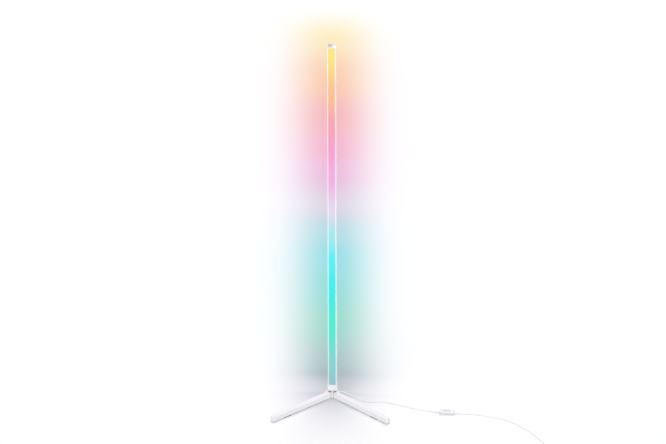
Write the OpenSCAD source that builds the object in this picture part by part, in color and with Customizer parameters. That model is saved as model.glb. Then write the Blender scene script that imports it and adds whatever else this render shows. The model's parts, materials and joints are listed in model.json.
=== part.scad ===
// Corner floor lamp: a slim white pole with a light strip down its whole front, on two
// low legs that stand at a right angle, with a thin cord, an in-line switch and a plug-in
// adapter. Millimetres. The origin is on the floor below the pole's axis, +Z is up and
// the light faces -Y.

/* [Lamp] */
// Height of the lamp above the floor
lamp_h = 1500; // [1200:10:1700]
// Thickness of the rubber feet
foot_t = 3; // [2:0.5:5]

/* [Pole] */
// Width of the pole across its lit face
pole_w = 35; // [33:0.5:42]
// Depth of the pole, front to back
pole_d = 36; // [35:0.5:44]
// Wall of the pole
pole_wall = 1.8; // [1.4:0.1:2.2]
// Radius of the pole's corners
pole_r = 3; // [2:0.25:4]
// Width of the window between the pole's two lips
window_w = 26; // [20:0.5:27]
// Depth of the light channel behind the lips
channel_d = 14.2; // [12:0.2:15]
// Radius of the self-tapping screws in the pole's screw ports
port_screw_r = 2; // [1.6:0.1:2.2]

/* [Light] */
// Wall of the opal diffuser
diffuser_wall = 1.4; // [1:0.1:2]
// How far the diffuser's face bulges
diffuser_crown = 0.6; // [0.2:0.1:1.2]
// Width of the light board
board_w = 12; // [8:0.5:16]
// Thickness of the circuit boards
board_t = 1.2; // [0.8:0.1:1.6]
// Distance from one light chip to the next
chip_pitch = 33; // [20:1:60]
// Side of a light chip
chip_w = 5; // [2:0.5:6]

/* [Top cap] */
// Thickness of the top cap
cap_t = 2; // [2:0.1:5]
// Depth of the dish in the top cap
cap_dish = 1.2; // [0.4:0.1:1.4]
// Depth that the cap's plugs reach into the pole
cap_plug = 9; // [6:0.5:14]

/* [Hub] */
// Wall of the collar round the foot of the pole
collar_wall = 1.85; // [1.4:0.05:3]
// Radius of the collar's corners
collar_r = 5; // [4:0.25:6]
// Thickness of the floor that the pole stands on
collar_floor = 5.3; // [4:0.1:8]
// Height of the collar above that floor
collar_h = 20; // [12:1:30]
// Wall of the wiring space under the pole
hub_wall = 2; // [1.6:0.1:2.4]
// How far the wiring space reaches forward of the pole's axis
hub_front = 3; // [2.9:0.1:3.2]
// Width of the web between the two legs
web_w = 8; // [7:0.5:12]
// Distance from the pole's axis to the nose of the web
web_nose = 38; // [34:1:46]
// Thickness of the base plate
plate_t = 3; // [2.5:0.1:4]
// Width of the base plate's wings under the legs
wing_w = 15; // [12:0.5:16]
// Length of the base plate's wings from the shoulders of the legs
wing_l = 46; // [44:1:50]

/* [Legs] */
// Angle between the two legs
leg_spread = 90; // [84:1:96]
// Length of a leg from its shoulder to its tip
leg_l = 310; // [240:5:360]
// Width of a leg
leg_w = 22; // [21:0.5:26]
// Height of a leg without its foot
leg_h = 20; // [18:0.5:26]
// Side wall of a leg
leg_wall = 2.2; // [1.6:0.1:3]
// Top wall of a leg
leg_top = 2.5; // [2:0.1:4]
// Radius of a leg's long top edges
leg_edge_r = 2; // [1:0.25:3]
// Radius of the corners of a leg's tip, seen from above
leg_tip_r = 4; // [2:0.5:6]
// Radius of the rounded shoulder of a leg
shoulder_r = 11.5; // [10:0.25:11.75]
// Shadow gap between the top of a leg and the collar
leg_gap = 1.7; // [1:0.1:3]
// Length of a leg's rubber foot
leg_foot_l = 40; // [20:1:60]
// Distance from the tip of a leg to the middle of its foot
leg_foot_in = 75; // [40:1:90]

/* [Cord] */
// Diameter of the cord
cord_d = 4; // [3.6:0.1:4.2]
// Length of the strain relief on the hub
gland_l = 14.6; // [12:0.2:14.6]

/* [Switch] */
// Length of the in-line switch
switch_l = 58; // [50:0.5:60]
// Width of the in-line switch
switch_w = 26; // [24:0.5:30]
// Height of the in-line switch
switch_h = 13; // [12:0.25:16]
// Wall of the switch's shells
switch_wall = 1.6; // [1.2:0.1:2]
// Length of the switch's button
button_l = 28; // [20:0.5:29]
// Width of the switch's button
button_w = 9; // [7:0.5:11]
// Travel of the button
button_travel = 1; // [0.5:0.1:1.2]
// How far the button stands up from the switch
button_rise = 1.2; // [0.6:0.1:2]

/* [Adapter] */
// Length of the adapter without its pins
adapter_l = 62; // [56:1:80]
// Width of the adapter
adapter_w = 40; // [36:0.5:50]
// Height of the adapter as it lies
adapter_h = 28; // [26:0.5:36]
// Wall of the adapter's case
adapter_wall = 1.8; // [1.4:0.1:2.4]
// Length of the strain relief on the adapter
adapter_relief_l = 22; // [20:1:22]
// Diameter of a plug pin
pin_d = 4; // [4:0.1:4.8]
// Length of a plug pin outside the adapter
pin_l = 19; // [17:0.5:19]
// Distance between the two plug pins
pin_pitch = 19; // [17:0.5:19.5]

/* [Hidden] */
$fn = 48;

LEFT = -1;
RIGHT = 1;
WHITE = "whitesmoke";
RUBBER = "dimgray";
STEEL = "silver";
BOARD = "seagreen";
CORD = "gainsboro";

fit = 0.15;         // clearance of pieces that slot together
soft_r = 0.8;       // radius of the small soft edges of castings and mouldings
screw_fit = 0.05;   // clearance round a screw's shaft
side_gap = 0.3;     // clearance between pieces that only lie beside each other
big = 200;          // longer than anything that it cuts

// Levels of the foot of the lamp
leg_z0 = foot_t;
plate_z1 = foot_t + plate_t;
leg_z1 = leg_z0 + leg_h;
collar_z0 = leg_z1 + leg_gap;
pole_z0 = collar_z0 + collar_floor;
collar_z1 = pole_z0 + collar_h;
cap_z0 = lamp_h - cap_t;

// Pole section
pole_in = pole_w / 2 - pole_wall;
lip_y = -pole_d / 2 + pole_wall;
board_y = lip_y + channel_d;
chamber_y0 = board_y + pole_wall;
chamber_y1 = pole_d / 2 - pole_wall;
flange_t = 1.2;
flange_y1 = lip_y + fit + flange_t;
rail_w = 1;
rail_d = 1.2;
port_in = port_screw_r + 0.75;
port_x = pole_in - port_in;
port_ys = [chamber_y0 + port_in, chamber_y1 - port_in];
port_r = port_screw_r + 1.35;
port_screw_l = 14;
port_head_r = port_screw_r + 1.4;
port_head_h = 3;

// Hub
collar_w = pole_w + 2 * (fit + collar_wall);
collar_d = pole_d + 2 * (fit + collar_wall);
cavity_w = collar_w - 2 * hub_wall;
cavity_y0 = -hub_front + hub_wall;
cavity_y1 = collar_d / 2 - hub_wall;
plate_screw_r = 1.5;
plate_head_r = 2.9;
plate_head_h = 1.7;
plate_screw_l = 9;
boss_r = 3.2;
rear_boss = [0, cavity_y1 - boss_r + 0.6];
front_bosses = [[-web_w / 2 - 1.2, cavity_y0 + 1.5], [web_w / 2 + 1.2, cavity_y0 + 1.5]];
web_screw = [0, -web_nose + 8];

// Legs: a leg's own frame has its origin on the leg's centre line, beside the shoulder,
// with X towards the tip
shoulder = [15, -15];
leg_turn = leg_spread / 2 - 90;
root_gap = 1.5;
root_pocket_w = 8.5;
root_pocket_h = 10;
root_pocket_y = -collar_d / 2 - 7;
wing_at = -leg_w * 0.45;
cover_x0 = wing_l + 6;
cover_x1 = leg_l - 4;
cover_t = 1.8;
weight_x0 = cover_x0 + 10;
weight_x1 = cover_x1 - 10;
inner_w = leg_w - 2 * leg_wall;
rib_h = 2.3;
rib_w = 2;
rib_pitch = 36;
leg_screw_r = 2;
leg_head_r = 3.6;
leg_head_h = 2;
leg_screw_l = 12;
leg_screw_xs = [14, 38];
cover_screw_r = 1.3;
cover_head_r = 2.4;
cover_head_h = 1;
cover_screw_l = 9;
cover_screw_xs = [cover_x0 + 5, cover_x1 - 5];
leg_foot_w = leg_w - 1;

// Cord: the routes of its free stretches, by hand, with the middle of the cord at each point
cord_r = cord_d / 2;
gland_y = 4.4;
gland_z = 10.4;
gland_base = 1.9;       // thickness of the gland's outer flange
gland_x1 = collar_w / 2 + gland_base + gland_l;
gland_flange_r = 4.2;
lead_r = 1.75;
duct_y = 8.8;
ring_step = 12;
switch_at = [450, -148.6];
switch_turn = -6;
relief_l = 15;
relief_tip_r = cord_r + 0.6;
relief_r = 3.4;
relief_z = switch_wall + relief_r;
switch_dir = [cos(switch_turn), sin(switch_turn), 0];
function switch_end(side) =
    [switch_at.x, switch_at.y, relief_z] + side * (switch_l / 2 + relief_l) * switch_dir;
lead_route = [
    [gland_x1, gland_y, gland_z], [43, 3.5, 9.2], [50, 0.2, 7], [57, -4.4, 4.8],
    [65, -9.5, 3], [75, -14.8, 2.1], [86, -22, 2], [95, -31, 2], [103.5, -41, 2],
    [113, -51.5, 2], [124, -60, 2], [138, -64, 2], [160, -64.5, 2],
    [199, -64, 2], [232, -76, 2], [265, -90, 2], [299, -106, 2], [333, -120, 2],
    [360, -128.5, 2], [376, -132.5, 2.4], [391, -139, 3.6], switch_end(-1)
];
coil_mid = [834, -458];
coil_in = 25;           // angle at which the cord comes in and leaves
coil_loops = 6;
coil_r_in = 4.2 * cord_d;
coil_pitch = cord_d + 0.6; // from one turn to the next, sideways and upwards
coil_rings = 24;        // rings in a loop
coil_sides = 6;
coil_lead = 5;          // straight end of the coiled tube
// Where the coil's middle line is after t loops: in along the floor, then out on top
function ease(u) = let (c = max(0, min(1, u))) c * c * (3 - 2 * c);
function coil_at(t) =
    let (
        half = coil_loops / 2,
        r = coil_r_in + coil_pitch * abs(t - half),
        a = coil_in - 360 * t,
        z = cord_r + coil_pitch * ease(2 * (t - half) + 0.5)
    )
    [coil_mid.x + r * cos(a), coil_mid.y + r * sin(a), z];
function unit(v) = v / norm(v);
coil_start = coil_at(0);
coil_end = coil_at(coil_loops);
coil_start_dir = unit(coil_at(0.01) - coil_start);
coil_end_dir = unit(coil_end - coil_at(coil_loops - 0.01));
coil_line = concat(
    [coil_start - coil_lead * coil_start_dir],
    [for (i = [0:coil_loops * coil_rings]) coil_at(i / coil_rings)],
    [coil_end + coil_lead * coil_end_dir]
);
run_route = [
    switch_end(1), [507, -154, 4], [523, -154, 2.6], [545, -155, 2], [578, -160, 2],
    [612, -171, 2], [649, -184, 2], [684, -203, 2], [720, -231, 2], [745, -258, 2],
    [772, -292, 2], [794, -322, 2], [815, -358, 2], [832, -391, 2], [846, -416, 2],
    coil_line[0]
];
adapter_x = 876;
adapter_y = -514;
entry_z = 8;
entry_r = 4.4;
tail_route = [
    coil_line[len(coil_line) - 1], [870, -463, 6.2], [874.5, -477, 6.6],
    [adapter_x, adapter_y + adapter_relief_l, entry_z]
];

// Switch, in its own frame: its middle on the floor, X along the cord
switch_r = 6;
switch_edge_r = 2.5;
seam_z = relief_z;
lap = 1;                // height of the lip that lines up the two shells
lap_t = 0.7;
button_gap = 0.25;
button_flange = 1;
button_dish = 0.5;
dish_r = (pow(button_l / 2 - 4, 2) + pow(button_dish, 2)) / (2 * button_dish);
button_flange_h = 1.1;
button_z1 = switch_h + button_rise;
button_flange_z1 = switch_h - switch_wall - 0.3;
stem_r = 1.2;
relief_neck_r = relief_r - 1;
tact_w = 6;
tact_h = 2.6;
switch_board_z = switch_wall + 2.4;
tact_z1 = switch_board_z + board_t + tact_h;
stem_z0 = tact_z1 - button_travel - 0.2;
switch_post = [switch_l / 2 - 7, switch_w / 2 - 5];
switch_screw_r = 1.1;
switch_screw_l = 7;

// Adapter, in its own frame: its rear face's lower middle, with Y towards the cord
adapter_r = 6;
adapter_edge_r = 5;
face_t = 4;
pin_z = adapter_h / 2;
pin_in = 10;
pin_tip = 1.5;
pin_root_r = pin_d / 2 + 0.6;
adapter_board_z = 5;

// ---- shared shapes ----

// A rectangle with round corners, its middle at the origin
module round_rect(w, d, r) {
    square([w - 2 * r, d], center = true);
    square([w, d - 2 * r], center = true);
    for (x = [-1, 1], y = [-1, 1]) translate([x * (w / 2 - r), y * (d / 2 - r)]) circle(r);
}

// A slot with half-round ends, its middle at the origin
module slot(l, w) {
    square([l - w, w], center = true);
    for (x = [-1, 1]) translate([x * (l - w) / 2, 0]) circle(w / 2);
}

// A block along X from x0 to x1, centred on the XZ plane
module bar(x0, x1, w, z0, z1) {
    translate([x0, -w / 2, z0]) cube([x1 - x0, w, z1 - z0]);
}

// A block with every edge rounded: r seen from above, edge_r seen from the sides
module soft_block(l, w, h, r, edge_r) {
    intersection() {
        linear_extrude(h) round_rect(l, w, r);
        translate([0, w, h / 2]) rotate([90, 0, 0]) linear_extrude(2 * w) round_rect(l, h, edge_r);
        translate([-l, 0, h / 2]) rotate([90, 0, 90]) linear_extrude(2 * l) round_rect(w, h, edge_r);
    }
}

// A block with its upright edges and its top edges rounded, standing on z = 0
module soft_top(l, w, h, r, edge_r) {
    intersection() {
        translate([0, 0, -h]) soft_block(l, w, 2 * h, r, edge_r);
        linear_extrude(2 * h) square([2 * l, 2 * w], center = true);
    }
}

// A disc with its top edge rounded, standing on z = 0
module soft_disc(r, h, edge_r) {
    rotate_extrude() {
        square([r - edge_r, h]);
        square([r, h - edge_r]);
        translate([r - edge_r, h - edge_r]) circle(edge_r);
    }
}

// A screw standing on its head: the shaft points up and the head's top is at z0
module screw(z0, r, l, head_r, head_h) {
    translate([0, 0, z0]) cylinder(r = head_r, h = head_h);
    translate([0, 0, z0]) cylinder(r = r, h = head_h + l);
}

// A solid turned about the X axis from [x, radius] corners
module turned_x(corners) {
    rotate([90, 0, 90]) rotate_extrude()
        polygon(concat([for (c = corners) [c[1], c[0]]],
            [[0, corners[len(corners) - 1][0]], [0, corners[0][0]]]));
}

// Points every step or less along a smooth line through the points of a route
function catmull(p, i, u) =
    let (
        a = i > 0 ? p[i - 1] : 2 * p[0] - p[1],
        b = p[i],
        c = p[i + 1],
        d = i + 2 < len(p) ? p[i + 2] : 2 * c - b
    )
    0.5 * (2 * b + (c - a) * u + (2 * a - 5 * b + 4 * c - d) * u * u
        + (3 * b - a - 3 * c + d) * u * u * u);
function on_floor(p) = [p.x, p.y, max(p.z, cord_r)];
function smooth_line(p, step) = concat(
    [for (i = [0:len(p) - 2], n = [ceil(norm(p[i + 1] - p[i]) / step)], k = [0:n - 1])
        on_floor(catmull(p, i, k / n))],
    [p[len(p) - 1]]
);

// A round tube swept along a line of points, its two end faces square to the given ways
function ring_at(p, way, r, sides) =
    let (side = unit(cross(way, [0, 0.001, 1])), up = cross(side, way))
    [for (k = [0:sides - 1]) p + r * (cos(360 * k / sides) * side + sin(360 * k / sides) * up)];
module tube(line, r, sides, first_way, last_way) {
    n = len(line);
    function way(i) = i == 0 ? first_way : i == n - 1 ? last_way : unit(line[i + 1] - line[i - 1]);
    corners = [for (i = [0:n - 1]) each ring_at(line[i], way(i), r, sides)];
    walls = [for (i = [0:n - 2], k = [0:sides - 1]) each
        let (a = i * sides + k, b = i * sides + (k + 1) % sides)
        [[a, b, a + sides], [b, b + sides, a + sides]]];
    ends = [for (k = [1:sides - 2]) each
        [[0, k + 1, k], [(n - 1) * sides, (n - 1) * sides + k, (n - 1) * sides + k + 1]]];
    polyhedron(concat(corners), concat(walls, ends));
}

// ---- pole and light ----

module pole_outline() round_rect(pole_w, pole_d, pole_r);

module port_boss(x, y) {
    side = sign(x);
    rear = sign(y - (chamber_y0 + chamber_y1) / 2);
    translate([x, y]) circle(port_r);
    translate([x, y]) scale([side, rear]) square(port_in + pole_wall / 2);
}

module pole_profile() {
    color(WHITE) difference() {
        translate([0, 0, pole_z0]) linear_extrude(cap_z0 - pole_z0) difference() {
            pole_outline();
            difference() {
                union() {
                    translate([-pole_in, lip_y]) square([2 * pole_in, channel_d]);
                    translate([-pole_in, chamber_y0]) square([2 * pole_in, chamber_y1 - chamber_y0]);
                    translate([-window_w / 2, -pole_d]) square([window_w, pole_d / 2 + pole_wall]);
                }
                for (x = [-1, 1]) translate([x * pole_in, flange_y1 + fit + rail_d / 2])
                    square([2 * rail_w, rail_d], center = true);
                for (x = [-1, 1], y = port_ys) port_boss(x * port_x, y);
            }
            for (x = [-1, 1], y = port_ys)
                translate([x * port_x, y]) circle(port_screw_r + screw_fit);
        }
        translate([0, chamber_y0 + 1, wire_z]) rotate([90, 0, 0]) cylinder(r = 2.5, h = pole_wall + 2);
    }
}

module diffuser() {
    nose = window_w / 2 - fit;
    edge_y = -pole_d / 2 + diffuser_crown;
    bow = (nose * nose + diffuser_crown * diffuser_crown) / (2 * diffuser_crown);
    color("ivory") translate([0, 0, pole_z0]) linear_extrude(cap_z0 - pole_z0 - fit) difference() {
        union() {
            translate([-pole_in + fit, lip_y + fit]) square([2 * (pole_in - fit), flange_t]);
            translate([-nose, edge_y]) square([2 * nose, flange_y1 - edge_y]);
            intersection() {
                translate([0, -pole_d / 2 + bow]) circle(bow, $fn = 360);
                translate([-nose, -pole_d]) square([2 * nose, pole_d / 2 + diffuser_crown + 0.2]);
            }
        }
        translate([-nose + diffuser_wall, edge_y + diffuser_wall])
            square([2 * (nose - diffuser_wall), pole_d]);
    }
}

board_z0 = pole_z0 + 6;
board_z1 = cap_z0 - 6;
module led_board() {
    color(BOARD) translate([-board_w / 2, board_y - board_t, board_z0])
        cube([board_w, board_t, board_z1 - board_z0]);
}

module led_chips() {
    chip_t = 1.4;
    n = floor((board_z1 - board_z0 - chip_w) / chip_pitch);
    color("lightyellow") for (i = [0:n])
        translate([-chip_w / 2, board_y - board_t - chip_t, board_z0 + 2 + i * chip_pitch])
            cube([chip_w, chip_t, chip_w]);
}

module top_cap() {
    rim = 2.5;
    plug_w = 2 * (port_x - port_r) - 1;
    chamber_d = chamber_y1 - chamber_y0 - 2 * fit;
    front_y = -pole_d / 2 + diffuser_crown + diffuser_wall + fit;
    front_d = board_y - board_t - 2 - front_y;
    front_w = window_w - 2 * (diffuser_wall + 2 * fit);
    color(WHITE) {
        difference() {
            translate([0, 0, cap_z0]) soft_top(pole_w, pole_d, cap_t, pole_r, soft_r);
            translate([0, 0, lamp_h - cap_dish]) linear_extrude(cap_t)
                round_rect(pole_w - 2 * rim, pole_d - 2 * rim, pole_r);
        }
        translate([-plug_w / 2, chamber_y0 + fit, cap_z0 - cap_plug])
            plug_box(plug_w, chamber_d, cap_plug);
        translate([-front_w / 2, front_y, cap_z0 - cap_plug]) plug_box(front_w, front_d, cap_plug);
    }
}

// A hollow plug, open below
module plug_box(w, d, h) {
    wall = 1.5;
    difference() {
        cube([w, d, h]);
        translate([wall, wall, -1]) cube([w - 2 * wall, d - 2 * wall, h + 1 - wall]);
    }
}

// ---- wiring in the pole and the hub ----

controller_w = 2 * (port_x - port_r) - 1;
controller_h = 60;
controller_y = chamber_y0 + 2.5;
controller_z = pole_z0 + 32;
wire_z = controller_z + controller_h + 18;
module controller_board() {
    color(BOARD) {
        translate([-controller_w / 2, controller_y, controller_z])
            cube([controller_w, board_t, controller_h]);
        for (z = [8, controller_h - 8]) translate([0, controller_y, controller_z + z])
            rotate([90, 0, 0]) cylinder(r = 2.5, h = controller_y - chamber_y0);
    }
}

module controller_parts() {
    y = controller_y + board_t;
    socket_h = 9;
    top = controller_z + controller_h;
    color("dimgray") {
        translate([-5, y, controller_z]) cube([10, duct_y + lead_r + 0.5 - y, socket_h]);
        translate([-7, y, controller_z + 16]) cube([14, 2.4, 16]);
        translate([-8, y, top - 18]) cube([16, 3, 14]);
        for (x = [-6, 6]) translate([x, y, top - 22.5])
            rotate([-90, 0, 0]) cylinder(r = 2, h = 6);
    }
}

module led_wires() {
    y = controller_y + board_t / 2;
    z = controller_z + controller_h;
    r = 1;
    route = [[0, y, z], [0, y, z + 8], [0, y - 0.6, z + 14], [0, chamber_y0 + 0.4, wire_z - 1],
        [0, board_y, wire_z]];
    color("gold") tube(smooth_line(route, 3), r, 8, [0, 0, 1], [0, -1, 0]);
}

module inner_lead() {
    bend = duct_y - gland_y;
    route = [[gland_in_x, gland_y, gland_z], [9.9, gland_y, gland_z],
        [8.8, gland_y + 0.05 * bend, gland_z], [5.4, gland_y + 0.4 * bend, gland_z + 0.8],
        [2.2, gland_y + 0.75 * bend, gland_z + 3.2], [0.4, duct_y, gland_z + 7.4],
        [0, duct_y, gland_z + 13], [0, duct_y, pole_z0 + 12], [0, duct_y, controller_z]];
    color(CORD) tube(smooth_line(route, 4), lead_r, 8, [-1, 0, 0], [0, 0, 1]);
}

module cord_clamp() {
    l = 3.5;
    w = 8.4;
    h = gland_z + lead_r + 1.5 - plate_z1;
    color(RUBBER) difference() {
        translate([10, gland_y - w / 2, plate_z1]) cube([l, w, h]);
        translate([5, gland_y, gland_z]) rotate([0, 90, 0]) cylinder(r = lead_r + screw_fit, h = 12);
    }
}

// ---- hub ----

module collar_outline() round_rect(collar_w, collar_d, collar_r);
module hub_outline() {
    intersection() {
        collar_outline();
        translate([-collar_w, -hub_front]) square([2 * collar_w, collar_d]);
    }
}
module web_outline() {
    translate([-web_w / 2, -web_nose + web_w / 4]) square([web_w, web_nose - web_w / 4]);
    translate([0, -web_nose + web_w / 2]) round_rect(web_w, web_w, web_w / 4);
}

module hub_casting() {
    color(WHITE) difference() {
        union() {
            translate([0, 0, collar_z0])
                soft_top(collar_w, collar_d, collar_z1 - collar_z0, collar_r, soft_r);
            translate([0, 0, plate_z1]) linear_extrude(collar_z0 - plate_z1) difference() {
                union() {
                    hub_outline();
                    web_outline();
                }
                difference() {
                    translate([-cavity_w / 2, cavity_y0]) square([cavity_w, cavity_y1 - cavity_y0]);
                    for (p = concat([rear_boss], front_bosses)) translate(p) circle(boss_r);
                }
            }
        }
        translate([0, 0, pole_z0]) linear_extrude(big)
            round_rect(pole_w + 2 * fit, pole_d + 2 * fit, pole_r + fit);
        for (x = [-1, 1], y = port_ys) translate([x * port_x, y, collar_z0 - 1])
            cylinder(r = port_screw_r + 0.2, h = collar_floor + 2);
        translate([0, duct_y, collar_z0 - 1]) cylinder(r = lead_r + 1.2, h = collar_floor + 2);
        for (p = plate_screw_spots) translate([p.x, p.y, plate_z1 - 1])
            cylinder(r = plate_screw_r + screw_fit, h = plate_screw_l + 1);
        translate([collar_w / 2 - hub_wall - 1, gland_y, gland_z]) rotate([0, 90, 0])
            cylinder(r = gland_neck_r + screw_fit, h = hub_wall + 2);
    }
}
plate_screw_spots = concat([rear_boss], front_bosses, [web_screw]);

module hub_base_plate() {
    color(WHITE) difference() {
        union() {
            translate([0, 0, foot_t]) linear_extrude(plate_t) {
                hub_outline();
                web_outline();
            }
            for (side = [LEFT, RIGHT]) leg_place(side)
                bar(wing_at, wing_l, wing_w, foot_t, plate_z1);
        }
        for (p = plate_screw_spots) translate([p.x, p.y, foot_t])
            screw_hole(plate_screw_r, plate_head_r, plate_head_h);
        for (side = [LEFT, RIGHT], x = leg_screw_xs) leg_place(side) translate([x, 0, foot_t])
            screw_hole(leg_screw_r, leg_head_r, leg_head_h);
    }
}

// The hole for a screw whose head lies flush in the underside at z = 0
module screw_hole(r, head_r, head_h) {
    translate([0, 0, -1]) cylinder(r = head_r + 0.2, h = head_h + 1);
    cylinder(r = r + 0.2, h = big);
}

module base_plate_screws() {
    color(STEEL) for (p = plate_screw_spots) translate([p.x, p.y])
        screw(foot_t, plate_screw_r, plate_t - plate_head_h + plate_screw_l - 1,
            plate_head_r, plate_head_h);
}

module pole_screws() {
    color(STEEL) for (x = [-1, 1], y = port_ys) translate([x * port_x, y])
        screw(collar_z0 - port_head_h, port_screw_r, collar_floor + port_screw_l,
            port_head_r, port_head_h);
}

module hub_foot() {
    inset = 2.5;
    front = 14;
    w = collar_w - 2 * inset;
    d = collar_d / 2 - inset + front;
    color(RUBBER) translate([0, collar_d / 2 - inset - d / 2]) linear_extrude(foot_t)
        round_rect(w, d, 3);
}

// ---- legs ----

module leg_place(side) {
    mirror([side == LEFT ? 1 : 0, 0, 0]) translate([shoulder.x, shoulder.y])
        rotate(leg_turn) translate([0, -leg_w / 2]) children();
}

// The outer form of a leg: a bar with soft long edges, a round tip and a round shoulder
module leg_form() {
    back = 40;
    translate([(leg_l - back) / 2, 0, leg_z0])
        soft_top(leg_l + back, leg_w, leg_h, leg_tip_r, leg_edge_r);
    translate([0, leg_w / 2, leg_z0]) soft_disc(shoulder_r, leg_h, leg_edge_r);
}

// The pocket in the root of a leg, beside the web, that clears the front of the collar
module root_pocket() {
    l = shoulder.x + 0.5;
    translate([0, root_pocket_y, leg_z1 - root_pocket_h]) linear_extrude(big) {
        square([l - 1, root_pocket_w]);
        translate([l - 2, root_pocket_w / 2]) round_rect(4, root_pocket_w, 1.5);
    }
}

module leg(side) {
    color(WHITE) difference() {
        intersection() {
            leg_place(side) leg_form();
            mirror([side == LEFT ? 1 : 0, 0, 0]) translate([web_w / 2 + root_gap, -2 * leg_l, 0])
                cube([2 * leg_l, 2 * leg_l - hub_front - root_gap, big]);
        }
        mirror([side == LEFT ? 1 : 0, 0, 0]) root_pocket();
        leg_place(side) {
            bar(-big, wing_l + side_gap, wing_w + 2 * side_gap, leg_z0 - 1, plate_z1);
            bar(cover_x0, cover_x1, inner_w, leg_z0 - 1, leg_z0 + cover_t);
            difference() {
                bar(weight_x0, weight_x1, inner_w, leg_z0, leg_z1 - leg_top);
                for (x = [weight_x0 + rib_pitch / 2 : rib_pitch : weight_x1 - rib_w])
                    bar(x, x + rib_w, leg_w, leg_z1 - leg_top - rib_h, leg_z1);
            }
            for (x = leg_screw_xs) translate([x, 0, leg_z0])
                cylinder(r = leg_screw_r + screw_fit, h = plate_t + leg_screw_l);
            for (x = cover_screw_xs) translate([x, 0, leg_z0])
                cylinder(r = cover_screw_r + screw_fit, h = cover_screw_l + cover_t);
        }
    }
}

module leg_weight(side) {
    color(STEEL) leg_place(side)
        bar(weight_x0 + side_gap, weight_x1 - side_gap, inner_w - 2 * side_gap,
            leg_z0 + cover_t, leg_z1 - leg_top - rib_h - side_gap);
}

module leg_cover(side) {
    color(RUBBER) leg_place(side) difference() {
        bar(cover_x0 + fit, cover_x1 - fit, inner_w - 2 * fit, leg_z0, leg_z0 + cover_t);
        for (x = cover_screw_xs) translate([x, 0, leg_z0])
            screw_hole(cover_screw_r, cover_head_r, cover_head_h);
    }
}

module leg_foot(side) {
    color(RUBBER) leg_place(side) translate([leg_l - leg_foot_in, 0]) linear_extrude(foot_t)
        round_rect(leg_foot_l, leg_foot_w, 3);
}

module leg_screws(side) {
    color(STEEL) leg_place(side) for (x = leg_screw_xs) translate([x, 0])
        screw(leg_z0, leg_screw_r, leg_screw_l, leg_head_r, leg_head_h);
}

module cover_screws(side) {
    color(STEEL) leg_place(side) for (x = cover_screw_xs) translate([x, 0])
        screw(leg_z0, cover_screw_r, cover_screw_l - 1, cover_head_r, cover_head_h);
}

// ---- cord ----

gland_neck_r = 3.2;
gland_in_x = collar_w / 2 - hub_wall - 2.2;
module cord_gland() {
    wall_x = collar_w / 2;
    sleeve_x = wall_x + gland_base;
    tip_r = cord_r + 0.7;
    root_r = 3.7;
    grooves = 3;
    pitch = (gland_x1 - sleeve_x) / (grooves + 1);
    color(WHITE) translate([0, gland_y, gland_z]) difference() {
        turned_x([
            [gland_in_x, gland_flange_r], [wall_x - hub_wall - 0.1, gland_flange_r],
            [wall_x - hub_wall - 0.1, gland_neck_r], [wall_x + 0.1, gland_neck_r],
            [wall_x + 0.1, gland_flange_r], [sleeve_x, gland_flange_r],
            [sleeve_x, root_r], [gland_x1, tip_r]
        ]);
        for (i = [1:grooves]) translate([sleeve_x + i * pitch, 0, 0]) turned_ring(cord_r + 0.4, 1.2);
    }
}

// A square-cut groove round the X axis, down to radius r
module turned_ring(r, w) {
    rotate([0, 90, 0]) translate([0, 0, -w / 2]) difference() {
        cylinder(r = 3 * r, h = w);
        translate([0, 0, -1]) cylinder(r = r, h = w + 2);
    }
}

module cord_lead() {
    color(CORD) tube(smooth_line(lead_route, ring_step), cord_r, 8, [1, 0, 0], switch_dir);
}
module cord_run() {
    color(CORD) tube(smooth_line(run_route, ring_step), cord_r, 8, switch_dir, coil_start_dir);
}
module cord_coil() {
    color(CORD) tube(coil_line, cord_r, coil_sides, coil_start_dir, coil_end_dir);
}
module cord_tail() {
    color(CORD) tube(smooth_line(tail_route, ring_step), cord_r, 8, coil_end_dir, [0, -1, 0]);
}

// Least gap between two turns of the coil, on its points
coil_gap = min([for (i = [0:len(coil_line) - 1], j = [i + 8:1:len(coil_line) - 1])
    norm(coil_line[i] - coil_line[j])]) - cord_d;
echo(coil_gap_mm = coil_gap);

// ---- in-line switch ----

module switch_place() translate([switch_at.x, switch_at.y]) rotate(switch_turn) children();

module switch_form() soft_block(switch_l, switch_w, switch_h, switch_r, switch_edge_r);
module switch_hollow() {
    translate([0, 0, switch_wall]) linear_extrude(switch_h - 2 * switch_wall)
        round_rect(switch_l - 2 * switch_wall, switch_w - 2 * switch_wall, switch_r - switch_wall);
}
module switch_layer(z0, z1) translate([0, 0, z0]) linear_extrude(z1 - z0) square(big, center = true);
module relief_hole() {
    translate([-big, 0, relief_z]) rotate([0, 90, 0])
        cylinder(r = relief_neck_r + screw_fit, h = 2 * big);
}
switch_posts = [[-switch_post.x, -switch_post.y], [switch_post.x, switch_post.y]];

module switch_lower_shell() {
    color("silver") switch_place() difference() {
        union() {
            difference() {
                intersection() {
                    switch_form();
                    switch_layer(0, seam_z);
                }
                switch_hollow();
            }
            for (p = switch_posts) translate([p.x, p.y, switch_wall / 2])
                cylinder(r = 2.6, h = seam_z - switch_wall / 2);
            for (x = [-1, 1]) translate([x * 12 - 2, -5, switch_wall / 2])
                cube([4, 10, switch_board_z - switch_wall / 2]);
        }
        relief_hole();
        for (p = switch_posts) translate([p.x, p.y, -1]) {
            cylinder(r = switch_screw_r + 0.15, h = big);
            cylinder(r = 2.1, h = 2.2);
        }
    }
}

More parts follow.
